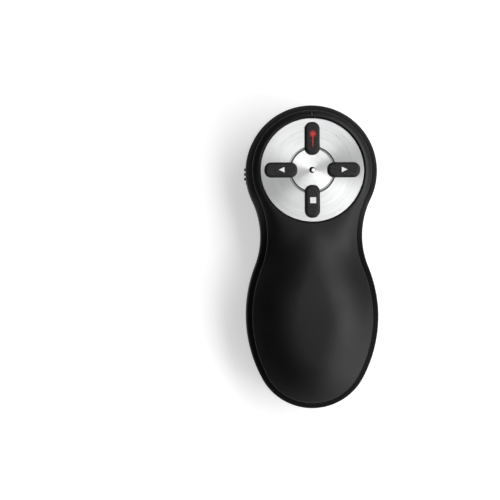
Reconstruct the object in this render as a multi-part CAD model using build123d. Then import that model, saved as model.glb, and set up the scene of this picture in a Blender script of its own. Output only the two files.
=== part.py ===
from build123d import *
import math
import os

os.makedirs("parts", exist_ok=True)

# A hand-held wireless presentation clicker, in millimetres.
# X is right, Y runs from the tail to the laser window, Z is up from the desk.
# The origin is under the middle of the casing, on its flat underside.

# Running and seating clearances
seam_gap = 0.1
slip_gap = 0.05
door_gap = 0.15

# Casing walls
wall = 1.8
floor = 2.0
base_round = 7.0
side_lean = 3.0

# Outline of the casing seen from above
waist_half_width = 18.05
waist_radius = 29.3
tail_half_width = 23.4
tail_radius = 20.27

# Button disc and the recess that holds it
disc_radius = 17.95
disc_thickness = 0.6
disc_edge = 0.12
adhesive_thickness = 0.15
recess_gap = 0.4
recess_depth_over_disc = 0.3
recess_edge = 0.25
plate_thickness = 1.25
groove_radius = 7.8
groove_half_width = 0.48
groove_depth = 0.28
stud_radius = 1.05
stud_rise = 0.45

# Cover shape
cover_inset = 2.3
cover_wall = 1.8
cover_edge = 0.4
head_shoulder = 2.6
head_drop = 1.15
tail_drop = 5.5
shoulder_run = 16.3
shoulder_blend = 1.0
crown_rise = 4.5
tail_fall = 2.0
rim_step = 0.4
rim_edge = 1.6
ledge_width = 1.3
ledge_thickness = 1.5
tongue_inset = 1.0
tongue_width = 0.65
tongue_height = 0.8

# Keys
key_length = 11.1
key_width = 4.9
key_gap = 0.2
key_rise = 1.15
key_offset = 10.9
key_edge = 0.9
key_corner = 2.2
key_travel = 0.5
flange_width = 0.9
flange_thickness = 0.9
boss_radius = 1.6
boss_length = 1.3

# Switches under the keys
switch_size = 6.0
switch_height = 1.8
plunger_radius = 1.75
plunger_rise = 0.8
plunger_depth = 0.8

# Batteries and their bay
cell_radius = 5.2
cell_length = 44.5
nub_radius = 1.9
nub_length = 1.0
cell_spacing = 0.9
cell_clearance = 0.25
cell_lift = 0.65
cell_edge = 0.4
bay_wall = 1.0
contact_thickness = 0.3
contact_size = 8.0
tab_width = 3.0
spring_length = 3.5
spring_radius = 2.8
spring_wire = 0.3
spring_turns = 3.5
pad_radius = 1.2

# Battery door
door_thickness = 1.6
door_overlap = 0.9
door_side_overlap = 0.5
trunnion_radius = 0.5
trunnion_length = 1.2
door_ledge_width = 1.3
door_ledge_height = 1.85
latch_width = 6.0
latch_thickness = 0.8
latch_height = 2.6
latch_bump = 0.15
latch_room = 0.3
scoop_radius = 3.2
scoop_depth = 0.8
scoop_width = 9.0
door_rib_width = 1.0
grip_count = 4
grip_length = 10.0
grip_width = 0.7
grip_pitch = 1.5
grip_depth = 0.4

# Circuit board and what is soldered to it
board_thickness = 1.0
board_radius = 18.8
board_pad = 0.3
board_neck_width = 16.0
board_neck_reach = 26.0
chip_height = 0.8
controller_size = 5.0
radio_size = 4.0
side_chip_x = 8.0
crystal_length = 3.2
crystal_width = 2.5
part_length = 1.6
part_width = 0.8
part_pitch = 1.7
part_rows = 4
part_x = 5.0
track_width = 0.5
track_pitch = 1.6
track_height = 0.1
track_rows = 5
led_length = 1.6
led_width = 0.8
led_height = 0.6
led_reach = 17.75
pipe_reach = 19.45
pipe_width = 0.7
pipe_depth = 1.1
pipe_side_gap = 0.25
pipe_lift = 1.0
pipe_foot_height = 1.2

# Case screws
screw_radius = 1.0
screw_head_radius = 1.75
screw_head_height = 1.3
screw_length = 10.0
driver_slot_length = 2.4
driver_slot_width = 0.6
counterbore_radius = 1.9
counterbore_depth = 6.0
post_radius = 2.7
cover_boss_radius = 2.2
front_screw_x = 12.0
front_screw_reach = 10.25
rear_screw_x = 16.0

# Laser
laser_z = 8.4
barrel_radius = 3.0
barrel_bore = 2.4
barrel_length = 13.0
barrel_setback = 1.2
lens_thickness = 1.6
lens_setback = 0.8
diode_wall = 0.7
diode_flange = 1.2
diode_length = 3.6
window_radius = 2.2
window_thickness = 1.0
window_lip = 0.4
cradle_thickness = 1.2
cradle_spread = 3.5
driver_length = 8.0
driver_width = 5.5
driver_thickness = 1.0
lead_radius = 0.35
clamp_thickness = 0.85
clamp_width = 2.6
clamp_reach = 6.4
clamp_flange = 1.0
clamp_screw_inset = 1.3
clamp_screw_radius = 0.8
clamp_screw_length = 4.0
clamp_head_radius = 1.2
clamp_head_height = 0.9

# Power slider on the left side
knob_behind_head = 0.65
knob_z = 11.1
knob_length = 7.0
knob_height = 3.6
knob_plate = 0.75
knob_ridge = 0.6
ridge_pitch = 1.67
ridge_width = 0.8
ridge_count = 3
knob_travel = 2.0
pocket_depth = 0.95
arm_length = 2.4
arm_height = 0.9
carriage_offset = 0.65
carriage_thickness = 0.7
carriage_length = 3.6
carriage_height = 2.6
finger_reach = 1.2
finger_thickness = 0.6
lever_width = 1.0
lever_length = 2.6
slide_body_length = 8.0
slide_body_depth = 3.8
slide_body_drop = 4.0
slide_body_setback = 0.5

# USB receiver stored in the tail
receiver_z = 9.0
receiver_width = 15.0
receiver_height = 7.0
receiver_cap_length = 6.5
receiver_gap = 0.1
receiver_wall = 1.0
receiver_end_gap = 0.3
plug_width = 12.0
plug_height = 4.5
plug_length = 12.0
plug_wall = 0.3
plug_window = 2.2
plug_window_x = 2.7
plug_window_setback = 5.2
tongue_thickness = 1.8
contact_pitch = 2.2
contact_length = 8.5
contact_rise = 0.15
nail_groove = 0.6
plug_seat = 2.6
contact_setback = 1.5
leaf_thickness = 0.2
leaf_length = 7.2
leaf_height = 2.0

# Distance from the battery bay's front wall to the centre of the disc
head_gap = 14.35

# Heights, stacked from the desk upwards
cell_z = door_thickness + cell_lift + cell_radius
bay_roof = cell_z + cell_radius + cell_clearance
bay_top = bay_roof + bay_wall
parting_z = bay_top + seam_gap
board_z = bay_top + board_pad
board_top = board_z + board_thickness
switch_top = board_top + switch_height
plunger_top = switch_top + plunger_rise
flange_under = plunger_top + boss_length
plate_under = flange_under + flange_thickness
recess_floor = plate_under + plate_thickness
disc_under = recess_floor + adhesive_thickness
disc_top = disc_under + disc_thickness
lip_z = disc_top + recess_depth_over_disc
key_top = disc_top + key_rise
crown_z = lip_z + crown_rise
ledge_top = parting_z + ledge_thickness

# Lengths, stacked from the tail forwards
recess_radius = disc_radius + recess_gap
head_radius = recess_radius + head_shoulder + cover_inset
bay_length = cell_length + spring_length + 2 * contact_thickness
receiver_room = receiver_cap_length + plug_length + receiver_end_gap
body_length = receiver_room + bay_wall + bay_length + bay_wall + head_gap + head_radius
back_y = -body_length / 2
front_y = body_length / 2
head_y = front_y - head_radius
bay_back = back_y + receiver_room + bay_wall
bay_front = bay_back + bay_length

# Centres of the arcs that make one side of the outline
waist_x = waist_half_width + waist_radius
waist_y = head_y - math.sqrt((head_radius + waist_radius) ** 2 - waist_x ** 2)
end_y = back_y + tail_radius
# The flank's arc touches the waist's and the tail's: its widest place solves a quadratic equation.
spread = waist_x - tail_half_width
bulge = tail_half_width - waist_half_width
nose = tail_half_width - tail_radius
waist_term = (waist_y ** 2 + spread ** 2 - waist_radius ** 2) / bulge
tail_term = (end_y ** 2 + tail_half_width ** 2 - tail_radius ** 2) / nose
constant = waist_term - tail_term
linear = waist_y / bulge - end_y / nose
square = 1 / bulge - 1 / nose
flank_y = constant / (linear + math.sqrt(linear ** 2 - square * constant))
flank_radius = (spread ** 2 + (waist_y - flank_y) ** 2 - waist_radius ** 2) / (2 * bulge)
flank_x = tail_half_width - flank_radius
head_centre = Vector(0, head_y)
waist_centre = Vector(waist_x, waist_y)
flank_centre = Vector(flank_x, flank_y)
end_centre = Vector(0, end_y)

# Battery bay and door sizes
cell_x = cell_radius + cell_spacing / 2
bay_half = cell_x + cell_radius + cell_clearance
door_half = bay_half + bay_wall + door_side_overlap
door_back = bay_back - bay_wall - door_overlap
door_front = bay_front + bay_wall + door_overlap
hinge_y = door_back + door_thickness / 2
hinge_z = door_thickness / 2
ledge_z = door_thickness + door_gap

# Laser, slider and receiver places
barrel_front = front_y - wall - barrel_setback
barrel_back = barrel_front - barrel_length
clamp_y = barrel_front - barrel_length / 2
knob_y = head_y - knob_behind_head
clamp_screw_x = clamp_reach - clamp_screw_inset
pocket_x = -(head_radius - pocket_depth)
inner_x = -(head_radius - wall)
slide_body_x = -(board_radius - slide_body_setback)
plug_back = back_y + receiver_cap_length

screw_places = [
    (-front_screw_x, head_y + front_screw_reach),
    (front_screw_x, head_y + front_screw_reach),
    (-rear_screw_x, flank_y),
    (rear_screw_x, flank_y),
]

# Each key lies along a radius of the disc, at this angle from +X.
key_angles = {"laser": 90, "previous": 180, "next": 0, "blank": 270}
key_seats = {}
for name, angle in key_angles.items():
    key_seats[name] = Pos(0, head_y, 0) * Rot(Z=angle) * Pos(key_offset, 0, 0)


def block(x0, x1, y0, y1, z0, z1):
    box = Box(x1 - x0, y1 - y0, z1 - z0)
    return Pos((x0 + x1) / 2, (y0 + y1) / 2, (z0 + z1) / 2) * box


def bar(x, y, z, length, width, height):
    # A block about its middle: length along X, width along Y, height along Z.
    return Pos(x, y, z) * Box(length, width, height)


def post(x, y, radius, z0, z1):
    return Pos(x, y, (z0 + z1) / 2) * Cylinder(radius, z1 - z0)


def rod(x, z, radius, y0, y1):
    return Pos(x, (y0 + y1) / 2, z) * Rot(X=90) * Cylinder(radius, y1 - y0)


def axle(y, z, radius, x0, x1):
    return Pos((x0 + x1) / 2, y, z) * Rot(Y=90) * Cylinder(radius, x1 - x0)


def save(name, shape):
    export_step(shape, f"parts/{name}.step")


def arc(centre, radius, start, end):
    middle = (start + end) / 2 - centre
    return ThreePointArc(start, centre + middle.normalized() * radius, end)


def outline(inset):
    # The casing's outline, moved inwards: head, waist, flank and tail arcs, each tangent to the next.
    neck = head_centre + (waist_centre - head_centre).normalized() * (head_radius - inset)
    hip = waist_centre + (flank_centre - waist_centre).normalized() * (waist_radius + inset)
    heel = flank_centre + (end_centre - flank_centre).normalized() * (flank_radius - inset)
    right = [
        arc(flank_centre, flank_radius - inset, heel, hip),
        arc(waist_centre, waist_radius + inset, hip, neck),
    ]
    left = [mirror(edge, about=Plane.YZ) for edge in right]
    head = ThreePointArc(neck, (0, front_y - inset), (-neck.X, neck.Y))
    tail = ThreePointArc((-heel.X, heel.Y), (0, back_y + inset), heel)
    return make_face([tail] + right + [head] + left)


def slab(inset, z0, z1):
    return Pos(0, 0, z0) * extrude(outline(inset), z1 - z0)


def left_of(start, end, point):
    # True where the point lies to the left of the line from start to end.
    line = end - start
    offset = point - start
    return line.X * offset.Y - line.Y * offset.X > 0


def depth_inside(x, y):
    # Distance from a point to the outline, positive inside it.
    point = Vector(abs(x), y)
    if left_of(head_centre, waist_centre, point):
        return head_radius - (point - head_centre).length
    if left_of(flank_centre, waist_centre, point):
        return (point - waist_centre).length - waist_radius
    if left_of(flank_centre, end_centre, point):
        return flank_radius - (point - flank_centre).length
    return tail_radius - (point - end_centre).length


def crest(y):
    # Height of the cover along its middle: level round the disc, highest over the tail's widest place.
    rise_start = head_y - recess_radius - 1
    if y > rise_start:
        return lip_z
    if y > flank_y:
        return lip_z + crown_rise * math.sin(math.pi / 2 * (rise_start - y) / (rise_start - flank_y)) ** 2
    return crown_z - tail_fall * ((flank_y - y) / (flank_y - back_y)) ** 2


def shoulder_drop(y):
    # How far the cover falls from its crest to its edge.
    start = head_y - disc_radius / 3
    end = flank_y + shoulder_run * 0.75
    share = min(1, max(0, (start - y) / (start - end)))
    share = share * share * (3 - 2 * share)
    return head_drop + (tail_drop - head_drop) * share


def top_height(x, y):
    depth = depth_inside(x, y) - cover_inset
    past_disc = math.hypot(x, y - head_y) - recess_radius - seam_gap / 2
    if past_disc <= 0:
        return crest(y)
    room = past_disc + depth
    gap = (shoulder_run - room) / shoulder_blend
    run = room - shoulder_blend * math.log(1 + math.exp(-gap))
    fall = max(0, 1 - depth / max(run, 1))
    return crest(y) - shoulder_drop(y) * fall ** 2


def top_sheet():
    step = 1.4
    half = tail_half_width + 3
    long_half = front_y + 3
    x_count = round(2 * half / step) + 1
    y_count = round(2 * long_half / step) + 1
    xs = [-half + 2 * half * i / (x_count - 1) for i in range(x_count)]
    ys = [-long_half + 2 * long_half * i / (y_count - 1) for i in range(y_count)]
    points = [[(x, y, top_height(x, y)) for y in ys] for x in xs]
    return Face.make_surface_from_array_of_points(points, tol=0.01, min_deg=3, max_deg=3)


sheet = top_sheet()


def under_sheet(drop):
    # Everything below the cover's surface lowered by the drop.
    return extrude(Pos(0, 0, -drop) * sheet, amount=1.5 * crown_z, dir=(0, 0, -1))


def build_envelope():
    # The casing's outer shape: a rounded base, and sides that lean in above the parting line.
    lower = extrude(outline(0), parting_z)
    lower = fillet(lower.faces().sort_by(Axis.Z)[0].edges(), base_round)
    upper = extrude(Pos(0, 0, parting_z) * outline(0), crown_z - parting_z, taper=side_lean)
    return lower + upper


envelope = build_envelope()


def key_slots(margin, z0, z1):
    # Holes for the four keys, wider than the caps by the margin all round.
    length = key_length + 2 * margin
    width = key_width + 2 * margin
    slot = Pos(0, 0, z0) * extrude(RectangleRounded(length, width, key_corner + margin), z1 - z0)
    return [seat * slot for seat in key_seats.values()]


def build_top_cover():
    outside = cover_inset + seam_gap
    body = slab(outside, ledge_top, crown_z + 1) & under_sheet(0)
    rim = body.faces().sort_by(Axis.Z)[-1].edges()
    body = fillet(rim, cover_edge)
    hollow = slab(outside + cover_wall, ledge_top - 1, crown_z) & under_sheet(cover_wall)
    hollow -= post(0, head_y, recess_radius + cover_wall, plate_under, crown_z)
    body -= hollow
    body -= post(0, head_y, recess_radius, recess_floor, crown_z)
    body -= Pos(0, head_y, lip_z) * Cone(recess_radius, recess_radius + 2 * recess_edge, 2 * recess_edge)
    for slot in key_slots(key_gap, plate_under - 1, crown_z):
        body -= slot
    for index, (x, y) in enumerate(screw_places):
        seat = board_top if index < 2 else board_z
        boss = post(x, y, cover_boss_radius, seat, crown_z) & under_sheet(cover_wall / 2)
        if index < 2:
            boss = post(x, y, cover_boss_radius, seat, plate_under + plate_thickness / 2)
        body += boss
        body -= post(x, y, screw_radius + slip_gap / 2, seat - 1, counterbore_depth + screw_length + 0.5)
    half = pipe_width / 2 + pipe_side_gap
    y0 = head_y + pipe_reach - pipe_depth / 2 - slip_gap
    y1 = y0 + pipe_depth + 2 * slip_gap
    foot_top = board_top + pipe_lift + pipe_foot_height + slip_gap
    body -= block(-half, half, y0, y1, ledge_top - 1, crown_z)
    return body - block(-half, half, head_y + led_reach, y1, ledge_top - 1, foot_top)


def build_rim_frame():
    ring = (envelope & slab(-1, parting_z, crown_z)) & under_sheet(rim_step)
    ring = ring - slab(cover_inset, ledge_top, crown_z + 1)
    ring -= slab(cover_inset + ledge_width, parting_z - 1, crown_z)
    groove = slab(tongue_inset - slip_gap, parting_z - 1, parting_z + tongue_height + seam_gap)
    groove -= slab(tongue_inset + tongue_width + slip_gap, parting_z - 2, crown_z)
    ring -= groove
    top = ring.faces().sort_by(Axis.Z)[-1]
    return fillet(top.outer_wire().edges(), rim_edge)


def build_bottom_shell():
    shell = envelope & slab(-1, -1, parting_z)
    hollow = slab(wall, floor, parting_z + 1)
    hollow = fillet(hollow.faces().sort_by(Axis.Z)[0].edges(), base_round - wall)
    shell -= hollow
    tongue = slab(tongue_inset, parting_z - 0.5, parting_z + tongue_height)
    tongue -= slab(tongue_inset + tongue_width, parting_z - 1, crown_z)
    shell += tongue
    shell = add_battery_bay(shell)
    shell = add_screw_posts(shell)
    shell = add_laser_seat(shell)
    shell = add_slider_pocket(shell)
    return add_receiver_bay(shell)


def add_battery_bay(shell):
    bay_y = (bay_back + bay_front) / 2
    bay_outside = bay_length + 2 * bay_wall
    # the doorway, and the ledge inside it that the door closes against
    doorway_length = door_front - door_back + 2 * door_gap
    shell -= bar(0, bay_y, 0, 2 * (door_half + door_gap), doorway_length, 2 * floor + 2)
    ledge_length = bay_outside + 2 * (door_overlap + door_ledge_width)
    ledge_x = 2 * (door_half + door_ledge_width)
    shell += bar(0, bay_y, ledge_z + door_ledge_height / 2, ledge_x, ledge_length, door_ledge_height)
    side = bay_half + bay_wall
    shell += block(-side, side, bay_back - bay_wall, bay_front + bay_wall, ledge_z, bay_top)
    shell -= block(-bay_half, bay_half, bay_back, bay_front, -1, bay_roof)
    shell += build_cell_rib()
    for x in (-cell_x, cell_x):
        slot_y = bay_front - contact_thickness / 2
        slot_depth = contact_thickness + 2 * slip_gap
        shell -= bar(x, slot_y, bay_top, tab_width + 2 * slip_gap, slot_depth, 2 * bay_wall + 1)
    for x in (-board_neck_width / 3, board_neck_width / 3):
        shell += post(x, head_y - board_neck_reach + 3, pad_radius, bay_roof + bay_wall / 2, board_z)
    return add_door_seats(shell)


def build_cell_rib():
    # A low rib under the bay's roof that keeps the two cells apart.
    half = cell_spacing * 0.8
    end_gap = contact_thickness + slip_gap
    low = cell_z + 0.72 * cell_radius
    return block(-half, half, bay_back + end_gap, bay_front - end_gap, low, bay_roof + bay_wall / 2)


def add_door_seats(shell):
    # Room for the latch tongue, the hinge sockets and a fingertip.
    half = latch_width / 2 + door_gap
    shell -= block(-half, half, bay_front + bay_wall, door_front + latch_room, -1, ledge_z + latch_height)
    socket_end = door_half + trunnion_length + seam_gap
    shell -= axle(hinge_y, hinge_z, trunnion_radius + slip_gap, -socket_end, socket_end)
    scoop_y = door_front + latch_room + door_thickness / 2
    shell -= axle(scoop_y, scoop_depth - scoop_radius, scoop_radius, -scoop_width / 2, scoop_width / 2)
    return shell


def add_screw_posts(shell):
    for index, (x, y) in enumerate(screw_places):
        shell += post(x, y, post_radius, floor / 2, board_z)
        shell -= post(x, y, counterbore_radius, -1, counterbore_depth)
        shell -= post(x, y, screw_radius + seam_gap, 0, board_z + 1)
    return shell


def add_laser_seat(shell):
    cradle_x = 2 * (barrel_radius + cradle_thickness)
    height = laser_z - floor / 2
    z = floor / 2 + height / 2
    for y in (clamp_y - cradle_spread, clamp_y + cradle_spread):
        shell += bar(0, y, z, cradle_x, cradle_thickness, height)
    shell += bar(0, clamp_y, z, 2 * clamp_reach, clamp_width + 4 * seam_gap, height)
    shell -= rod(0, laser_z, barrel_radius + slip_gap / 2, barrel_back - 1, barrel_front + 0.5)
    for x in (-clamp_screw_x, clamp_screw_x):
        bore_floor = laser_z - clamp_screw_length - 2 * seam_gap
        shell -= post(x, clamp_y, clamp_screw_radius, bore_floor, laser_z + 1)
    shell -= rod(0, laser_z, window_radius - window_lip, front_y - wall - 1, front_y + 1)
    shell -= rod(0, laser_z, window_radius, front_y - wall - 1, front_y - window_lip)
    return shell


def add_slider_pocket(shell):
    y0 = knob_y - knob_length / 2 - knob_travel - 2 * seam_gap
    y1 = knob_y + knob_length / 2 + 2 * seam_gap
    half = knob_height / 2 + door_gap
    shell -= block(-head_radius - 2, pocket_x, y0, y1, knob_z - half, knob_z + half)
    slot_half = arm_height / 2 + slip_gap
    y0 = knob_y - arm_length / 2 - knob_travel - seam_gap
    y1 = knob_y + arm_length / 2 + seam_gap
    shell -= block(pocket_x - 1, inner_x + 2, y0, y1, knob_z - slot_half, knob_z + slot_half)
    return shell


def add_receiver_bay(shell):
    cap_length = receiver_cap_length + seam_gap
    cap_y = back_y + cap_length / 2
    cap_x = receiver_width + 2 * receiver_gap
    cap_z = receiver_height + 2 * receiver_gap
    plug_x = plug_width + 2 * receiver_gap
    plug_z = plug_height + 2 * receiver_gap
    room_y = back_y + receiver_room / 2
    walls = 2 * receiver_wall
    wide_y = cap_length + receiver_wall
    wide = bar(0, back_y + wide_y / 2, receiver_z, cap_x + walls, wide_y, cap_z + walls)
    narrow_y = receiver_room + bay_wall / 2
    narrow = bar(0, back_y + narrow_y / 2, receiver_z, plug_x + walls, narrow_y, plug_z + walls)
    shell += (wide + narrow) & slab(wall / 2, 0, parting_z)
    shell -= bar(0, cap_y - 1, receiver_z, cap_x, cap_length + 2, cap_z)
    shell -= bar(0, room_y, receiver_z, plug_x, receiver_room, plug_z)
    return shell - detent_leaf()


def detent_leaf():
    # A flat spring let into the side of the receiver's bay.
    x = plug_width / 2 + receiver_gap + leaf_thickness / 2
    return bar(x, plug_back + leaf_length, receiver_z, leaf_thickness, leaf_length, leaf_height)


def build_battery_door():
    prism = block(-door_half, door_half, hinge_y, door_front, -1, door_thickness)
    edge = axle(hinge_y, hinge_z, door_thickness / 2, -door_half, door_half)
    door = (prism & envelope) + edge
    pin_end = door_half + trunnion_length
    door += axle(hinge_y, hinge_z, trunnion_radius, -pin_end, pin_end)
    # two ribs under the cells
    for y in (bay_back + bay_length / 4, bay_front - bay_length / 4):
        door += bar(0, y, door_thickness, 2 * cell_x + cell_radius, door_rib_width, cell_lift)
    # the latch tongue and its bump
    front = door_front - seam_gap
    root = door_thickness / 2
    height = latch_height + root
    door += bar(0, front - latch_thickness / 2, root + height / 2, latch_width, latch_thickness, height)
    bump_z = door_thickness + 0.7 * latch_height
    door += bar(0, front, bump_z, latch_width * 0.7, 2 * latch_bump, 4 * latch_bump)
    # grooves for a fingertip, across the outside near the latch
    for index in range(grip_count):
        y = door_front - latch_width / 2 - index * grip_pitch
        door -= bar(0, y, 0, grip_length, grip_width, 2 * grip_depth)
    return door


def build_button_disc():
    disc = post(0, head_y, disc_radius, disc_under, disc_top)
    disc = fillet(disc.edges().filter_by(GeomType.CIRCLE).sort_by(Axis.Z)[-1], disc_edge)
    # a ring-shaped hollow with a round bottom
    round_radius = (groove_half_width ** 2 + groove_depth ** 2) / (2 * groove_depth)
    disc -= Pos(0, head_y, disc_top - groove_depth + round_radius) * Torus(groove_radius, round_radius)
    for slot in key_slots(key_gap, disc_under - 1, disc_top + 1):
        disc -= slot
    return disc - post(0, head_y, stud_radius + slip_gap, disc_under - 1, disc_top + 1)


def build_disc_adhesive():
    film = post(0, head_y, disc_radius - 0.5, recess_floor, disc_under)
    for slot in key_slots(3 * key_gap, recess_floor - 1, disc_top):
        film -= slot
    return film - post(0, head_y, stud_radius + 0.3, recess_floor - 1, disc_top)


def build_center_stud():
    stud = post(0, head_y, stud_radius, recess_floor, disc_top + stud_rise)
    return fillet(stud.edges().filter_by(GeomType.CIRCLE).sort_by(Axis.Z)[-1], stud_rise * 0.95)


def build_key(seat):
    cap = extrude(RectangleRounded(key_length, key_width, key_corner), key_top - flange_under)
    cap = fillet(cap.faces().sort_by(Axis.Z)[-1].edges(), key_edge)
    length = key_length + 2 * flange_width
    width = key_width + 2 * flange_width
    key = cap + extrude(RectangleRounded(length, width, key_corner + flange_width), flange_thickness)
    key += Pos(0, 0, -boss_length / 2) * Cylinder(boss_radius, boss_length)
    return seat * Pos(0, 0, flange_under) * key


def build_plunger(seat):
    return seat * post(0, 0, plunger_radius, switch_top - plunger_depth, plunger_top)


def build_tact_switches():
    half = switch_size / 2
    body = block(-half, half, -half, half, board_top, switch_top)
    bore_floor = switch_top - plunger_depth - key_travel - seam_gap
    body -= post(0, 0, plunger_radius + slip_gap, bore_floor, switch_top + 1)
    return Compound(children=[seat * body for seat in key_seats.values()])


def build_main_board():
    board = post(0, head_y, board_radius, board_z, board_top)
    half = board_neck_width / 2
    board += block(-half, half, head_y - board_neck_reach, head_y, board_z, board_top)
    for x, y in screw_places[:2]:
        board -= post(x, y, screw_radius + seam_gap, board_z - 1, board_top + 1)
    return board


def chip(x, y, length, width, height=chip_height):
    return bar(x, y, board_top + height / 2, length, width, height)


def build_antenna():
    # A zigzag copper track on the board's neck.
    margin = board_neck_width / 8
    half = board_neck_width / 2 - margin
    y0 = head_y - board_neck_reach + margin / 2
    trace = chip(0, y0, 2 * half, track_width, track_height)
    for row in range(1, track_rows):
        y = y0 + row * track_pitch
        side = half if row % 2 else -half
        trace += chip(0, y, 2 * half, track_width, track_height)
        trace += chip(side, y - track_pitch / 2, track_width, track_pitch + track_width, track_height)
    return trace


def build_board_parts():
    # Resistors and capacitors in two rows beside the controller.
    group = []
    for x in (-part_x, part_x):
        for row in range(part_rows):
            y = head_y + controller_size - row * part_pitch
            group.append(chip(x, y, part_length, part_width, part_width * 0.7))
    return Compound(children=group)


def build_light_pipe():
    stem_back = head_y + pipe_reach - pipe_depth / 2
    stem_front = stem_back + pipe_depth
    half = pipe_width / 2
    foot_z = board_top + pipe_lift
    foot_back = head_y + led_reach - half
    foot = block(-half, half, foot_back, stem_front, foot_z, foot_z + pipe_foot_height)
    stem = block(-half, half, stem_back, stem_front, foot_z, crown_z)
    return (foot + stem) & under_sheet(slip_gap)


def build_laser():
    axis = (0, laser_z)
    barrel = rod(*axis, barrel_radius, barrel_back, barrel_front)
    barrel -= rod(*axis, barrel_bore, barrel_back - 1, barrel_front + 1)
    save("laser_barrel", barrel)
    lens_front = barrel_front - lens_setback
    lens = rod(*axis, barrel_bore, lens_front - lens_thickness, lens_front)
    save("laser_lens", lens)
    flange = rod(*axis, barrel_bore, barrel_back, barrel_back + diode_flange)
    can = rod(*axis, barrel_bore - diode_wall, barrel_back, barrel_back + diode_length)
    save("laser_diode", flange + can)
    x = driver_width / 2
    z = driver_thickness / 2
    board_back = barrel_back - driver_length
    save("laser_driver_board", block(-x, x, board_back, barrel_back, laser_z - z, laser_z + z))
    leads = [post(side * x / 2, board_back + 1.5, lead_radius, laser_z + z, board_z) for side in (-1, 1)]
    save("laser_leads", Compound(children=leads))
    window_front = front_y - window_lip
    save("laser_window", rod(*axis, window_radius, window_front - window_thickness, window_front))


def build_laser_clamp():
    half = clamp_width / 2
    outer = barrel_radius + clamp_thickness
    saddle = rod(0, laser_z, outer, clamp_y - half, clamp_y + half)
    saddle &= block(-outer, outer, clamp_y - half, clamp_y + half, laser_z, laser_z + outer)
    saddle += bar(0, clamp_y, laser_z + clamp_flange / 2, 2 * clamp_reach, clamp_width, clamp_flange)
    saddle -= rod(0, laser_z, barrel_radius + slip_gap / 2, clamp_y - clamp_width, clamp_y + clamp_width)
    for x in (-clamp_screw_x, clamp_screw_x):
        saddle -= post(x, clamp_y, clamp_screw_radius + slip_gap, laser_z - 1, laser_z + clamp_flange + 1)
    return saddle


def build_clamp_screws():
    group = []
    top = laser_z + clamp_flange
    for x in (-clamp_screw_x, clamp_screw_x):
        screw = post(x, clamp_y, clamp_screw_radius, laser_z - clamp_screw_length, top)
        screw += post(x, clamp_y, clamp_head_radius, top, top + clamp_head_height)
        group.append(screw)
    return Compound(children=group)


def build_power_knob():
    # Outside: a plate with grip ridges. Inside: a carriage and two fingers that hold the switch's lever.
    plate_x = pocket_x - slip_gap
    knob = bar(plate_x - knob_plate / 2, knob_y, knob_z, knob_plate, knob_length, knob_height)
    ridge_x = plate_x - (knob_plate + knob_ridge) / 2
    for index in range(ridge_count):
        y = knob_y + (index - (ridge_count - 1) / 2) * ridge_pitch
        knob += bar(ridge_x, y, knob_z, knob_plate + knob_ridge, ridge_width, knob_height - ridge_width)
    carriage_x = inner_x + carriage_offset
    inner_end = carriage_x + carriage_thickness
    arm_x = inner_end - plate_x + slip_gap
    knob += bar(inner_end - arm_x / 2, knob_y, knob_z, arm_x, arm_length, arm_height)
    middle_x = carriage_x + carriage_thickness / 2
    knob += bar(middle_x, knob_y, knob_z, carriage_thickness, carriage_length, carriage_height)
    finger_y = (lever_width + slip_gap + finger_thickness) / 2
    for side in (-1, 1):
        finger_x = middle_x + (carriage_thickness / 2 + finger_reach) / 2
        length = carriage_thickness / 2 + finger_reach
        knob += bar(finger_x, knob_y + side * finger_y, knob_z, length, finger_thickness, 1.6 * lever_width)
    return knob


def build_slide_switch():
    middle_x = slide_body_x + slide_body_depth / 2
    middle_y = knob_y - knob_travel / 2
    middle_z = board_z - slide_body_drop / 2
    body = bar(middle_x, middle_y, middle_z, slide_body_depth, slide_body_length, slide_body_drop)
    # the lever's slot is open at the body's outer face
    slot = lever_width + 2 * slip_gap
    body -= bar(slide_body_x, middle_y, knob_z, lever_length, slot + knob_travel, slot)
    save("slide_switch_body", body)
    lever = bar(slide_body_x - slip_gap, knob_y, knob_z, lever_length, lever_width, lever_width)
    save("slide_switch_lever", lever)


def build_cell(x, y0, direction):
    # A battery from its flat end at y0, its nub pointing along the direction.
    y1 = y0 + direction * (cell_length - nub_length)
    y2 = y0 + direction * cell_length
    can = rod(x, cell_z, cell_radius, min(y0, y1), max(y0, y1))
    can = fillet(can.edges().filter_by(GeomType.CIRCLE), cell_edge)
    return can + rod(x, cell_z, nub_radius, min(y0, y2), max(y0, y2))


def build_spring(x, y0, direction):
    # A helical contact spring from its plate at y0 to the cell.
    height = spring_length - 2 * spring_wire
    start = y0 + direction * spring_wire
    pitch = height / spring_turns
    path = Helix(pitch, height, spring_radius, center=(x, start, cell_z), direction=(0, direction, 0))
    section = Plane(path @ 0, z_dir=path % 0) * Circle(spring_wire)
    return sweep(section, path=path, is_frenet=True)


def build_batteries():
    half = contact_size / 2
    t = contact_thickness
    save("left_battery", build_cell(-cell_x, bay_back + t + spring_length, 1))
    save("right_battery", build_cell(cell_x, bay_front - t - spring_length, -1))
    for name, x in (("positive_plate", -cell_x), ("negative_plate", cell_x)):
        plate = block(x - half, x + half, bay_front - t, bay_front, cell_z - half, cell_z + half)
        tab = tab_width / 2
        plate += block(x - tab, x + tab, bay_front - t, bay_front, cell_z, board_z)
        save(name, plate)
    side = cell_x + half
    save("bridge_plate", block(-side, side, bay_back, bay_back + t, cell_z - half, cell_z + half))
    save("negative_spring", build_spring(cell_x, bay_front - t, -1))
    save("bridge_spring", build_spring(-cell_x, bay_back + t, 1))


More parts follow.
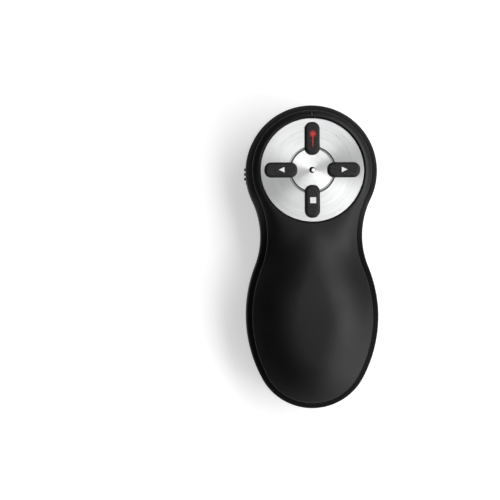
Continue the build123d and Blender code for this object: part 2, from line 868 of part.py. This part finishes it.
def build_case_screws():
    group = []
    head_z = counterbore_depth - screw_head_height
    for x, y in screw_places:
        screw = post(x, y, screw_head_radius, head_z, counterbore_depth)
        screw += post(x, y, screw_radius, counterbore_depth, counterbore_depth + screw_length)
        screw -= bar(x, y, head_z, driver_slot_length, driver_slot_width, screw_head_height)
        screw -= bar(x, y, head_z, driver_slot_width, driver_slot_length, screw_head_height)
        group.append(screw)
    return Compound(children=group)


def build_receiver():
    # The plug's parts start inside the cap.
    plug_end = plug_back + plug_length
    plug_start = plug_back - plug_seat
    cap_y = back_y + (receiver_cap_length - 1) / 2
    cap = bar(0, cap_y, receiver_z, receiver_width, receiver_cap_length + 1, receiver_height) & envelope
    cap -= bar(0, back_y, receiver_z, receiver_width * 0.7, 2 * nail_groove, 1)
    cap -= bar(0, plug_back, receiver_z, plug_width, 2 * plug_seat, plug_height)
    save("receiver_cap", cap)
    sleeve_y = (plug_start + plug_end) / 2
    sleeve_length = plug_length + plug_seat
    hole_x = plug_width - 2 * plug_wall
    hole_z = plug_height - 2 * plug_wall
    sleeve = bar(0, sleeve_y, receiver_z, plug_width, sleeve_length, plug_height)
    sleeve -= bar(0, sleeve_y, receiver_z, hole_x, sleeve_length + 2, hole_z)
    for x in (-plug_window_x, plug_window_x):
        sleeve -= bar(x, plug_end - plug_window_setback, receiver_z, plug_window, plug_window, plug_height + 2)
    save("usb_shell", sleeve)
    half = hole_x / 2
    z0 = receiver_z - hole_z / 2
    z1 = z0 + tongue_thickness / 3
    z2 = z0 + tongue_thickness
    save("receiver_board", block(-half, half, plug_start, plug_end - contact_setback, z0, z1))
    save("usb_tongue", block(-half, half, plug_start, plug_end - plug_wall * 2, z1, z2))
    contacts = []
    for index in range(4):
        x = (index - 1.5) * contact_pitch
        y = plug_end - contact_setback - contact_length / 2
        contacts.append(bar(x, y, z2 + contact_rise / 2, contact_pitch / 2, contact_length, contact_rise))
    save("usb_contacts", Compound(children=contacts))


def build_chips():
    side_y = head_y - key_offset
    save("controller_chip", chip(0, head_y, controller_size, controller_size))
    save("radio_chip", chip(side_chip_x, side_y, radio_size, radio_size))
    save("crystal", chip(-side_chip_x, side_y, crystal_length, crystal_width))
    save("status_led", chip(0, head_y + led_reach, led_length, led_width, led_height))
    save("antenna", build_antenna())
    save("board_parts", build_board_parts())


save("top_cover", build_top_cover())
save("rim_frame", build_rim_frame())
save("bottom_shell", build_bottom_shell())
save("battery_door", build_battery_door())
save("button_disc", build_button_disc())
save("disc_adhesive", build_disc_adhesive())
save("center_stud", build_center_stud())
for name, seat in key_seats.items():
    save(f"{name}_button", build_key(seat))
    save(f"{name}_plunger", build_plunger(seat))
save("tact_switches", build_tact_switches())
save("main_board", build_main_board())
build_chips()
save("light_pipe", build_light_pipe())
build_laser()
save("laser_clamp", build_laser_clamp())
save("clamp_screws", build_clamp_screws())
save("power_knob", build_power_knob())
build_slide_switch()
build_batteries()
save("case_screws", build_case_screws())
build_receiver()
save("receiver_detent", detent_leaf())
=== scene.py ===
import math

import bmesh
import bpy
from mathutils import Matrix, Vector


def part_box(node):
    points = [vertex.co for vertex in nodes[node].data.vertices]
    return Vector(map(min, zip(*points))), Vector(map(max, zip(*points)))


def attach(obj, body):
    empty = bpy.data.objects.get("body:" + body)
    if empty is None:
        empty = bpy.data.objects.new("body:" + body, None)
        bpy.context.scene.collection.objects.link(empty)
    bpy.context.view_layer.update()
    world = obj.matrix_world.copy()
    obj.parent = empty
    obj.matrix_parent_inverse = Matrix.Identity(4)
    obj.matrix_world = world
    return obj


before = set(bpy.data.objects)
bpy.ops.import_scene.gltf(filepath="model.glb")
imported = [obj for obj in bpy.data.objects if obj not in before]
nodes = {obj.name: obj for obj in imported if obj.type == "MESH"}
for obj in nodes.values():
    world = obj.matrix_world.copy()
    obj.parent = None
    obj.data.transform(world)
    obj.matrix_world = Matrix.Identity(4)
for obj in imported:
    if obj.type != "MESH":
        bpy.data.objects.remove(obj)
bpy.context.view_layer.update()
scene = bpy.context.scene
mm = 0.001


class Value:
    # one output of a node, so that a mask or a height reads as plain arithmetic
    def __init__(self, net, socket):
        self.net = net
        self.socket = socket

    def maths(self, operation, *others):
        return self.net.add("ShaderNodeMath", {"operation": operation}, dict(enumerate((self,) + others)))

    def __add__(self, other):
        return self.maths("ADD", other)

    def __mul__(self, other):
        return self.maths("MULTIPLY", other)

    def __sub__(self, other):
        return self.maths("SUBTRACT", other)

    def __rsub__(self, other):
        return self.net.add("ShaderNodeMath", {"operation": "SUBTRACT"}, {0: other, 1: self})

    def __truediv__(self, other):
        return self.maths("DIVIDE", other)

    def __gt__(self, other):
        return self.maths("GREATER_THAN", other)

    def __lt__(self, other):
        return self.maths("LESS_THAN", other)

    __radd__ = __add__
    __rmul__ = __mul__


class Net:
    # the node tree of one material, or of the surroundings
    def __init__(self, owner, space="Object"):
        self.owner = owner
        owner.use_nodes = True
        self.tree = owner.node_tree
        self.tree.nodes.clear()
        self.place = self.add("ShaderNodeTexCoord", out=space)

    def add(self, kind, settings={}, sockets={}, out=0):
        node = self.tree.nodes.new(kind)
        for name, setting in settings.items():
            setattr(node, name, setting)
        for name, value in sockets.items():
            if isinstance(value, Value):
                self.tree.links.new(value.socket, node.inputs[name])
            else:
                node.inputs[name].default_value = value
        return Value(self, node.outputs[out]) if node.outputs else node

    def noise(self, size, detail=2, roughness=0.5, place=None):
        # mottling whose lumps are about this size in metres
        sockets = {"Vector": place or self.place, "Scale": 1 / size, "Detail": detail, "Roughness": roughness}
        return self.add("ShaderNodeTexNoise", {}, sockets)

    def spread(self, value, low, high, newLow=0, newHigh=1):
        sockets = {"Value": value, "From Min": low, "From Max": high, "To Min": newLow, "To Max": newHigh}
        return self.add("ShaderNodeMapRange", {}, sockets)

    def mix(self, factor, first, second):
        return self.add("ShaderNodeMix", {"data_type": "RGBA"}, {0: factor, 6: first, 7: second}, out=2)

    def axis(self, name, place=None):
        return self.add("ShaderNodeSeparateXYZ", {}, {"Vector": place or self.place}, out=name)

    def moved(self, offset, scale=(1, 1, 1)):
        # places measured from another point, stretched along each axis
        sockets = {"Vector": self.place, "Location": [-o * s for o, s in zip(offset, scale)], "Scale": scale}
        return self.add("ShaderNodeMapping", {}, sockets)

    def vector(self, operation, first, second, out=0):
        return self.add("ShaderNodeVectorMath", {"operation": operation}, {0: first, 1: second}, out)

    def bump(self, height, depth, strength=1):
        return self.add("ShaderNodeBump", {}, {"Height": height, "Distance": depth, "Strength": strength})

    def finish(self, sockets):
        shader = self.add("ShaderNodeBsdfPrincipled", {}, sockets)
        self.add("ShaderNodeOutputMaterial", {}, {"Surface": shader})
        return self.owner


def grey(level, warmth=0.0):
    return (level * (1 + warmth), level, level * (1 - warmth), 1)


def shade(colour, factor=1.0):
    # a colour made darker or brighter, with its alpha
    return (*[min(1, part * factor) for part in colour], 1)


coverLook = {"tone": 0.002, "roughness": 0.44, "grain": 0.14 * mm, "depth": 0.003 * mm, "specular": 0.33}
casingLook = {"tone": 0.002, "roughness": 0.46, "grain": 0.24 * mm, "depth": 0.005 * mm, "specular": 0.06}
knobLook = {"tone": 0.009, "roughness": 0.45, "grain": 0.2 * mm, "depth": 0.006 * mm, "specular": 0.4}
ivoryLook = {"tone": 0.68, "roughness": 0.42, "grain": 0.3 * mm, "depth": 0.004 * mm, "specular": 0.5}
whiteLook = {"tone": 0.78, "roughness": 0.38, "grain": 0.3 * mm, "depth": 0.003 * mm, "specular": 0.5}
packageLook = {"tone": 0.018, "roughness": 0.55, "grain": 0.08 * mm, "depth": 0.006 * mm, "specular": 0.45}
filmLook = {"tone": 0.55, "roughness": 0.3, "grain": 0.5 * mm, "depth": 0.002 * mm, "specular": 0.5}


mouldLook = {"patch": 14 * mm, "patchRange": (0.3, 0.7), "toneChange": 0.14, "sheenChange": 0.04,
             "grainSheen": 0.05}


def moulded(name, look, warmth=0.0):
    # moulded plastic: spark-eroded grain and slow changes of tone and sheen
    net = Net(bpy.data.materials.new(name))
    grain = net.noise(look["grain"], 3, 0.6)
    sheen = net.noise(mouldLook["patch"], 3)
    toneChange = look["tone"] * mouldLook["toneChange"]
    tone = net.mix(sheen, grey(look["tone"] - toneChange, warmth), grey(look["tone"] + toneChange, warmth))
    smooth = look["roughness"] - mouldLook["sheenChange"]
    matt = look["roughness"] + mouldLook["sheenChange"]
    roughness = net.spread(sheen, *mouldLook["patchRange"], smooth, matt) + grain * mouldLook["grainSheen"]
    return net.finish({"Base Color": tone, "Roughness": roughness,
                       "Normal": net.bump(grain, look["depth"]), "Specular IOR Level": look["specular"]})


shellLook = {"tone": 0.0024, "rubbed": 0.009, "roughness": 0.47, "polish": 0.13, "grain": 0.26 * mm,
             "depth": 0.007 * mm, "specular": 0.14, "rubHeight": 0.9 * mm, "patch": 7 * mm,
             "scratch": 0.25 * mm, "stretch": (1, 0.04, 1), "rubPale": 0.5, "scratchPale": 0.4,
             "rubFlat": 0.7, "scratchDepth": 0.6, "patchRange": (0.42, 0.62), "scratchRange": (0.68, 0.74)}


def rubbedShell(name):
    # sparked grain that desks have rubbed smoother and paler low down, with a few fine scratches
    net = Net(bpy.data.materials.new(name))
    grain = net.noise(shellLook["grain"], 3, 0.6)
    patches = net.spread(net.noise(shellLook["patch"], 4, 0.6), *shellLook["patchRange"])
    low = net.spread(net.axis("Z"), shellLook["rubHeight"], 0)
    lines = net.noise(shellLook["scratch"], 2, 0.5, net.moved((0, 0, 0), shellLook["stretch"]))
    scratches = net.spread(lines, *shellLook["scratchRange"]) * low
    rub = low * patches
    worn = rub * shellLook["rubPale"] + scratches * shellLook["scratchPale"]
    tone = net.mix(worn, grey(shellLook["tone"]), grey(shellLook["rubbed"]))
    roughness = shellLook["roughness"] + grain * mouldLook["grainSheen"] - rub * shellLook["polish"]
    height = grain * (1 - rub * shellLook["rubFlat"]) - scratches * shellLook["scratchDepth"]
    return net.finish({"Base Color": tone, "Roughness": roughness, "Specular IOR Level": shellLook["specular"],
                       "Normal": net.bump(height, shellLook["depth"])})


keyLook = {"dark": 0.0008, "pale": 0.04, "fleckTone": 0.08, "fleckShare": 0.5, "roughness": 0.52,
           "pebbleSheen": 0.1, "specular": 0.2, "pebble": 0.2 * mm, "mottle": 0.38 * mm,
           "mottleRange": (0.4, 0.62), "fleck": 0.16 * mm, "fleckRange": (0.6, 0.72),
           "mottleHeight": 1.5, "depth": 0.03 * mm, "strength": 0.8}


def rubberCoat(name):
    # pebbled rubber, mottled, with tiny pale flecks
    net = Net(bpy.data.materials.new(name))
    pebble = net.noise(keyLook["pebble"], 2, 0.55)
    mottle = net.noise(keyLook["mottle"], 3, 0.7)
    flecks = net.spread(net.noise(keyLook["fleck"], 1), *keyLook["fleckRange"])
    pale = net.spread(mottle, *keyLook["mottleRange"])
    tone = net.mix(pale, grey(keyLook["dark"]), grey(keyLook["pale"]))
    tone = net.mix(flecks * keyLook["fleckShare"], tone, grey(keyLook["fleckTone"]))
    bumps = net.bump(pebble + mottle * keyLook["mottleHeight"], keyLook["depth"], keyLook["strength"])
    return net.finish({"Base Color": tone, "Roughness": keyLook["roughness"] + pebble * keyLook["pebbleSheen"],
                       "Normal": bumps, "Specular IOR Level": keyLook["specular"]})


inkLook = {"white": (0.94, 0.94, 0.93), "red": (0.6, 0.025, 0.02), "thin": 0.9, "patch": 0.35 * mm,
           "patchRange": (0.35, 0.65), "roughness": 0.45, "patchSheen": 0.12, "depth": 0.008 * mm,
           "thickness": 0.03 * mm, "sunk": 0.01 * mm}


def printedInk(name, colour):
    # pad-printed ink: slightly uneven cover over the pebbled key
    net = Net(bpy.data.materials.new(name))
    patches = net.noise(inkLook["patch"], 3, 0.7)
    full = net.spread(patches, *inkLook["patchRange"])
    tone = net.mix(full, shade(colour, inkLook["thin"]), shade(colour))
    return net.finish({"Base Color": tone, "Roughness": inkLook["roughness"] + patches * inkLook["patchSheen"],
                       "Normal": net.bump(net.noise(keyLook["pebble"]), inkLook["depth"])})


sleeveLook = {"dark": (0.42, 0.012, 0.01), "red": (0.6, 0.03, 0.02), "rub": 0.8 * mm, "roughness": 0.25,
              "rubSheen": 0.2, "depth": 0.01 * mm}


def wireSleeve(name):
    # red insulation, a little rubbed
    net = Net(bpy.data.materials.new(name))
    rub = net.noise(sleeveLook["rub"], 3)
    tone = net.mix(rub, shade(sleeveLook["dark"]), shade(sleeveLook["red"]))
    return net.finish({"Base Color": tone, "Roughness": rub * sleeveLook["rubSheen"] + sleeveLook["roughness"],
                       "Normal": net.bump(rub, sleeveLook["depth"])})


metalLook = {"haze": 5 * mm, "dark": 0.88, "bright": 1.08, "lineSheen": 0.08, "hazeSheen": 0.06,
             "depth": 0.002 * mm}


def metal(name, colour, roughness, scratch=0.4 * mm, stretch=(1, 1, 1)):
    # plated or drawn metal: faint scratches, slow changes of tone
    net = Net(bpy.data.materials.new(name))
    lines = net.noise(scratch, 3, 0.7, net.moved((0, 0, 0), stretch))
    haze = net.noise(metalLook["haze"], 2)
    tone = net.mix(haze, shade(colour, metalLook["dark"]), shade(colour, metalLook["bright"]))
    roughness = roughness + lines * metalLook["lineSheen"] + haze * metalLook["hazeSheen"]
    return net.finish({"Base Color": tone, "Metallic": 1, "Roughness": roughness,
                       "Normal": net.bump(lines, metalLook["depth"])})


# the dark tone round the dome's foot and its rougher sheen are painted shade; shift moves that ring off the
# dome's middle
studLook = {"steel": (0.75, 0.75, 0.75), "paintedShade": (0.012, 0.012, 0.012), "inner": 0.5 * mm, "outer": 0.8 * mm,
            "shift": (0.36 * mm, -0.12 * mm, 0), "scuff": 0.25 * mm, "waver": 0.1 * mm, "roughness": 0.04,
            "scuffSheen": 0.05, "paintedShadeSheen": 0.2, "depth": 0.001 * mm}


def domedSteel(name):
    # polished dome with painted shade: a dark ring painted round its foot, its middle shifted so the painted
    # shade lies thicker on the left and top
    low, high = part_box("center_stud")
    net = Net(bpy.data.materials.new(name))
    flat = net.moved((low + high) / 2 + Vector(studLook["shift"]), (1, 1, 0))
    scuffs = net.noise(studLook["scuff"], 3)
    reach = net.vector("LENGTH", flat, flat, "Value") + scuffs * studLook["waver"]
    # painted shade: dark round the dome's foot, thicker on the left and top
    paintedShadeRing = net.spread(reach, studLook["inner"], studLook["outer"])
    tone = net.mix(paintedShadeRing, shade(studLook["steel"]), shade(studLook["paintedShade"]))
    roughness = scuffs * studLook["scuffSheen"] + paintedShadeRing * studLook["paintedShadeSheen"] + studLook["roughness"]
    return net.finish({"Base Color": tone, "Metallic": 1, "Roughness": roughness,
                       "Normal": net.bump(scuffs, studLook["depth"])})


# grooveShade darkens the metal in the groove as painted shade
spunLook = {"tone": (0.82, 0.825, 0.83), "dark": 0.88, "bright": 1.1,
            "pitches": (0.14 * mm, 0.5 * mm, 2.2 * mm), "shares": (0.25, 0.4, 0.35), "shareRange": (0.36, 0.64),
            "arc": 0.9, "roughness": 0.33, "middleSheen": 0.24, "broadSheen": 0.14,
            "anisotropy": 0.85, "depth": 0.002 * mm, "fineLift": 0.4,
            "groove": 7.8 * mm, "grooveHalf": 0.5 * mm, "grooveShade": 0.3, "outerTone": 0.86}


def spunMetal(name):
    # turned rings round the disc's middle, broken into long arcs, a groove painted darker as painted shade, and
    # duller metal outside
    low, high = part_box("button_disc")
    net = Net(bpy.data.materials.new(name))
    flat = net.moved((low + high) / 2, (1, 1, 0))
    radius = net.vector("LENGTH", flat, flat, "Value")
    arcs = net.vector("MULTIPLY", net.vector("NORMALIZE", flat, flat), [spunLook["arc"]] * 3)

    def rings(pitch):
        lift = net.add("ShaderNodeCombineXYZ", {}, {"Z": radius / pitch})
        return net.noise(1, 3, 0.6, net.vector("ADD", arcs, lift))

    fine, middle, broad = [rings(pitch) for pitch in spunLook["pitches"]]
    fineShare, middleShare, broadShare = spunLook["shares"]
    streaks = net.spread(fine * fineShare + middle * middleShare + broad * broadShare, *spunLook["shareRange"])
    dark = shade(spunLook["tone"], spunLook["dark"])
    tone = net.mix(streaks, dark, shade(spunLook["tone"], spunLook["bright"]))
    inner = spunLook["groove"] - spunLook["grooveHalf"]
    outer = spunLook["groove"] + spunLook["grooveHalf"]
    duller = net.vector("MULTIPLY", tone, [spunLook["outerTone"]] * 3)
    tone = net.mix(radius > inner, tone, duller)
    # painted shade: the metal inside the groove is painted darker
    inGroove = (radius > inner) * (radius < outer)
    tone = net.mix(inGroove, tone, shade(spunLook["tone"], spunLook["grooveShade"]))
    roughness = spunLook["roughness"] + (middle - 0.5) * spunLook["middleSheen"]
    roughness = roughness + (broad - 0.5) * spunLook["broadSheen"]
    return net.finish({"Base Color": tone, "Metallic": 1, "Roughness": roughness,
                       "Anisotropic": spunLook["anisotropy"],
                       "Normal": net.bump(fine * spunLook["fineLift"] + middle, spunLook["depth"])})


clearLook = {"haze": 0.9 * mm, "thin": 0.92, "hazeSheen": 0.06, "index": 1.49, "depth": 0.002 * mm}


def tintedClear(name, colour, roughness, transmission=1.0):
    # tinted glass or clear plastic with a faint haze
    net = Net(bpy.data.materials.new(name))
    haze = net.noise(clearLook["haze"], 2)
    tone = net.mix(haze, shade(colour, clearLook["thin"]), shade(colour))
    return net.finish({"Base Color": tone, "Roughness": haze * clearLook["hazeSheen"] + roughness,
                       "IOR": clearLook["index"], "Transmission Weight": transmission,
                       "Normal": net.bump(haze, clearLook["depth"])})


boardLook = {"mask": (0.008, 0.085, 0.03), "track": (0.02, 0.17, 0.06), "pitch": 1.1 * mm, "landEdge": 0.07,
             "fibre": (0.30, 0.27, 0.14), "weave": 0.15 * mm, "fibreShare": 0.15, "roughness": 0.25,
             "weaveSheen": 0.1, "weaveHeight": 0.2, "depth": 0.01 * mm}


def solderMask(name):
    # green mask over glass weave, with copper lands that show through it
    net = Net(bpy.data.materials.new(name))
    cells = {"Scale": 1 / boardLook["pitch"], "Vector": net.place}
    edges = net.add("ShaderNodeTexVoronoi", {"feature": "DISTANCE_TO_EDGE"}, cells, "Distance")
    lands = edges < boardLook["landEdge"]
    weave = net.noise(boardLook["weave"], 2)
    tone = net.mix(lands, shade(boardLook["mask"]), shade(boardLook["track"]))
    tone = net.mix(weave * boardLook["fibreShare"], tone, shade(boardLook["fibre"]))
    roughness = weave * boardLook["weaveSheen"] + boardLook["roughness"]
    return net.finish({"Base Color": tone, "Roughness": roughness,
                       "Normal": net.bump(lands + weave * boardLook["weaveHeight"], boardLook["depth"])})


cellLook = {"wrap": (0.012, 0.014, 0.018), "band": (0.62, 0.34, 0.12), "steel": (0.62, 0.62, 0.63),
            "bandLength": 9 * mm, "rim": 0.7 * mm, "nub": 1.0 * mm, "skin": 0.3 * mm, "bandShine": 0.8,
            "patch": 2.5 * mm, "patchShare": 0.12, "patchTone": 0.2, "roughness": 0.22, "patchSheen": 0.1,
            "patchHeight": 0.05, "depth": 0.03 * mm}


def cellWrap(name, node, nubSide):
    # a battery's printed sleeve: dark body, coppery band at the positive end, bare steel at both ends
    low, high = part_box(node)
    flatEnd, nubEnd = (low.y, high.y) if nubSide > 0 else (high.y, low.y)
    net = Net(bpy.data.materials.new(name))
    along = (net.axis("Y") - flatEnd) * nubSide                # metres from the flat end
    length = abs(nubEnd - flatEnd)
    flat = net.moved((low + high) / 2, (1, 0, 1))
    radius = net.vector("LENGTH", flat, flat, "Value")
    band = along > length - cellLook["bandLength"]
    sleeved = (along > cellLook["rim"]) * (along < length - cellLook["nub"] - cellLook["rim"])
    sleeved = sleeved * (radius > (high.x - low.x) / 2 - cellLook["skin"])
    patches = net.noise(cellLook["patch"], 3)
    tone = net.mix(band, shade(cellLook["wrap"]), shade(cellLook["band"]))
    tone = net.mix(patches * cellLook["patchShare"], tone, grey(cellLook["patchTone"]))
    tone = net.mix(sleeved, shade(cellLook["steel"]), tone)
    bare = 1 - sleeved * (1 - band * cellLook["bandShine"])
    return net.finish({"Base Color": tone, "Metallic": bare,
                       "Roughness": patches * cellLook["patchSheen"] + cellLook["roughness"],
                       "Normal": net.bump(sleeved + patches * cellLook["patchHeight"], cellLook["depth"])})


finishes = {
    "cover_black": moulded("coverBlack", coverLook),
    "casing_black": moulded("casingBlack", casingLook),
    "key_rubber": rubberCoat("keyRubber"),
    "spun_aluminium": spunMetal("spunAluminium"),
    "polished_steel": domedSteel("polishedSteel"),
    "adhesive_film": moulded("adhesiveFilm", filmLook, 0.03),
    "switch_plastic": moulded("switchPlastic", packageLook),
    "plunger_plastic": moulded("plungerPlastic", ivoryLook, 0.06),
    "board_green": solderMask("solderMask"),
    "chip_black": moulded("chipPackage", packageLook),
    "can_steel": metal("canSteel", (0.62, 0.62, 0.62), 0.28, 0.25 * mm, (1, 0.1, 1)),
    "copper_track": metal("platedCopper", (0.83, 0.58, 0.27), 0.22),
    "ceramic_tan": moulded("ceramicTan", {**ivoryLook, "tone": 0.3}, 0.25),
    "led_lens": tintedClear("ledLens", (0.9, 0.35, 0.3), 0.12, 0.6),
    "pipe_clear": tintedClear("lightPipe", (0.25, 0.25, 0.27), 0.1, 0.8),
    "barrel_brass": metal("turnedBrass", (0.78, 0.58, 0.26), 0.2, 0.3 * mm, (0.2, 4, 0.2)),
    "lens_glass": tintedClear("lensGlass", (0.93, 0.97, 1.0), 0.01),
    "lead_red": wireSleeve("leadRed"),
    "clamp_steel": metal("pressedSteel", (0.60, 0.61, 0.62), 0.3, 0.3 * mm, (1, 0.15, 1)),
    "screw_steel": metal("blackenedSteel", (0.17, 0.17, 0.175), 0.32, 0.3 * mm),
    "window_glass": tintedClear("windowGlass", (0.35, 0.03, 0.03), 0.03, 0.85),
    "contact_nickel": metal("springNickel", (0.74, 0.72, 0.67), 0.2, 0.3 * mm),
    "plug_steel": metal("plugShell", (0.72, 0.72, 0.73), 0.22, 0.3 * mm, (1, 0.12, 1)),
    "tongue_plastic": moulded("plugTongue", whiteLook),
    "contact_gold": metal("goldFlash", (0.90, 0.66, 0.30), 0.16),
}
shellFinish = rubbedShell("shellBlack")
nodeFinishes = {
    "bottom_shell": shellFinish,
    "battery_door": shellFinish,
    "left_battery": cellWrap("leftCell", "left_battery", 1),
    "right_battery": cellWrap("rightCell", "right_battery", -1),
    "power_knob": moulded("knobBlack", knobLook),
}
for name, node in nodes.items():
    for materialSlot in node.material_slots:
        materialSlot.material = nodeFinishes.get(name) or finishes[materialSlot.name]
print("finishes on", len(nodes), "nodes")


markLook = {    # from the middle of each key
    "arrowLength": 2.0 * mm, "arrowWidth": 1.9 * mm, "arrowShift": 0.22 * mm,
    "square": 2.05 * mm, "squareShift": 0.3 * mm,
    "spot": 0.66 * mm, "rays": 10, "rayTip": 1.42 * mm, "spotShift": 1.47 * mm,
    "beamEnd": -3.05 * mm, "beamWidth": 0.2 * mm, "shift": 0.18 * mm,
}


def flatMark(name, outline, body, material):
    # a thin printed shape on a key's top, its outline given counterclockwise round the key's middle
    low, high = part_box(body.replace("_key", "_button"))
    mesh = bpy.data.meshes.new(name)
    tree = bmesh.new()
    corners = [tree.verts.new(((low.x + high.x) / 2 + x, (low.y + high.y) / 2 + y, high.z - inkLook["sunk"]))
               for x, y in outline]
    face = tree.faces.new(corners)
    raised = bmesh.ops.extrude_face_region(tree, geom=[face])["geom"]
    lift = [part for part in raised if isinstance(part, bmesh.types.BMVert)]
    bmesh.ops.translate(tree, vec=(0, 0, inkLook["thickness"]), verts=lift)
    bmesh.ops.recalc_face_normals(tree, faces=tree.faces)
    bmesh.ops.triangulate(tree, faces=tree.faces)
    tree.to_mesh(mesh)
    tree.free()
    mark = bpy.data.objects.new(name, mesh)
    mesh.materials.append(material)
    scene.collection.objects.link(mark)
    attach(mark, body)
    return mark


def arrowOutline(way):
    # a triangle whose tip points along X
    half = markLook["arrowLength"] / 2
    side = markLook["arrowWidth"] / 2
    points = [(half, 0), (-half, side), (-half, -side)]
    return [(x * way + markLook["arrowShift"], y * way) for x, y in points]


def squareOutline():
    half = markLook["square"] / 2
    middle = markLook["shift"]
    corners = [(-half, -half), (half, -half), (half, half), (-half, half)]
    return [(middle + x, markLook["squareShift"] + y) for x, y in corners]


def burstOutline():
    # a round spot with short rays, and a thin beam that runs down from it
    centre = markLook["spotShift"]
    count = 2 * markLook["rays"]
    halfBeam = markLook["beamWidth"] / 2
    middle = markLook["shift"]
    points = [(middle - halfBeam, markLook["beamEnd"]), (middle + halfBeam, markLook["beamEnd"])]
    for step in range(1, count):
        angle = -math.pi / 2 + 2 * math.pi * step / count
        reach = markLook["spot"] if step % 2 else markLook["rayTip"]
        points.append((middle + reach * math.cos(angle), centre + reach * math.sin(angle)))
    return points


whiteInk = printedInk("whiteInk", inkLook["white"])
redInk = printedInk("redInk", inkLook["red"])
marks = [flatMark("laserMark", burstOutline(), "laser_key", redInk),
         flatMark("previousMark", arrowOutline(-1), "previous_key", whiteInk),
         flatMark("nextMark", arrowOutline(1), "next_key", whiteInk),
         flatMark("blankMark", squareOutline(), "blank_key", whiteInk)]
print("marks printed:", len(marks))


studio = {"centre": (-21.74 * mm, 2.55 * mm), "height": 340 * mm, "lens": 66, "sensor": 36, "turn": 0.28}
floorLook = {"size": 4, "tone": 0.74, "glow": 0.53}    # metres, and 1 is white
lamps = {    # degrees from straight above and round from +X, metres, and 1 is white
    "sideBox": {"tilt": 34, "swing": 10, "distance": 1.0, "size": (0.46, 1.3), "radiance": 4.4},
    "topPanel": {"tilt": 12, "swing": 62, "distance": 0.95, "size": (1.6, 0.24), "radiance": 1.25},
    "lowBox": {"tilt": 60, "swing": -44, "distance": 1.0, "size": (0.45, 0.9), "radiance": 2.5},
    "edgeStrip": {"tilt": 76, "swing": -20, "distance": 1.0, "size": (0.2, 1.0), "radiance": 2.5},
}
roomLook = {"horizon": 0.26, "horizonTop": 0.25, "ceiling": 0.035, "ceilingFrom": 0.6,
            "shade": 0.15, "shadeFrom": -0.6, "shadeTo": 0.4, "under": 0.85, "underFrom": -0.05}


def makeCamera():
    data = bpy.data.cameras.new("camera")
    data.lens = studio["lens"]
    data.sensor_width = studio["sensor"]
    camera = bpy.data.objects.new("camera", data)
    camera.location = (*studio["centre"], studio["height"])
    camera.rotation_euler = (0, 0, -math.radians(studio["turn"]))
    scene.collection.objects.link(camera)
    scene.camera = camera


def softbox(name, facts):
    tilt = math.radians(facts["tilt"])
    swing = math.radians(facts["swing"])
    width, length = facts["size"]
    light = bpy.data.lights.new(name, "AREA")
    light.shape = "RECTANGLE"
    light.size = width
    light.size_y = length
    light.energy = facts["radiance"] * math.pi * width * length
    lamp = bpy.data.objects.new(name, light)
    way = (math.sin(tilt) * math.cos(swing), math.sin(tilt) * math.sin(swing), math.cos(tilt))
    lamp.location = [facts["distance"] * part for part in way]
    lamp.rotation_euler = (0, tilt, swing)
    scene.collection.objects.link(lamp)


def makeFloor():
    # pale paper: white to the camera and in what shines or is clear, and see-through from below
    net = Net(bpy.data.materials.new("paper"))
    rays = net.add("ShaderNodeLightPath", out="Is Camera Ray")
    for kind in ("Is Glossy Ray", "Is Transmission Ray"):
        rays = rays.maths("MAXIMUM", net.add("ShaderNodeLightPath", out=kind))
    glow = net.mix(rays, grey(0), grey(floorLook["glow"]))
    fromBelow = net.add("ShaderNodeNewGeometry", out="Backfacing")
    paper = net.finish({"Base Color": grey(floorLook["tone"]), "Roughness": 1, "Specular IOR Level": 0,
                        "Emission Color": glow, "Emission Strength": 1, "Alpha": 1 - fromBelow})
    half = floorLook["size"] / 2
    mesh = bpy.data.meshes.new("floor")
    corners = [(-half, -half, 0), (half, -half, 0), (half, half, 0), (-half, half, 0)]
    mesh.from_pydata(corners, [], [(0, 1, 2, 3)])
    floor = bpy.data.objects.new("floor", mesh)
    mesh.materials.append(paper)
    scene.collection.objects.link(floor)


def makeRoom():
    # pale near the horizon, dark overhead, darker on the left, and pale under the floor
    net = Net(bpy.data.worlds.new("room"), "Generated")
    up = net.axis("Z")
    height = net.spread(up, roomLook["horizonTop"], roomLook["ceilingFrom"],
                        roomLook["horizon"], roomLook["ceiling"])
    side = net.spread(net.axis("X"), roomLook["shadeFrom"], roomLook["shadeTo"], roomLook["shade"], 1)
    under = up < roomLook["underFrom"]
    tone = net.mix(height * side * (1 - under) + under * roomLook["under"], grey(0), grey(1))
    background = net.add("ShaderNodeBackground", {}, {"Color": tone, "Strength": 1})
    net.add("ShaderNodeOutputWorld", {}, {"Surface": background})
    scene.world = net.owner


makeCamera()
for lampName, facts in lamps.items():
    softbox(lampName, facts)
makeFloor()
makeRoom()
scene.view_settings.view_transform = "Standard"
print("studio set, lamps:", len(lamps))
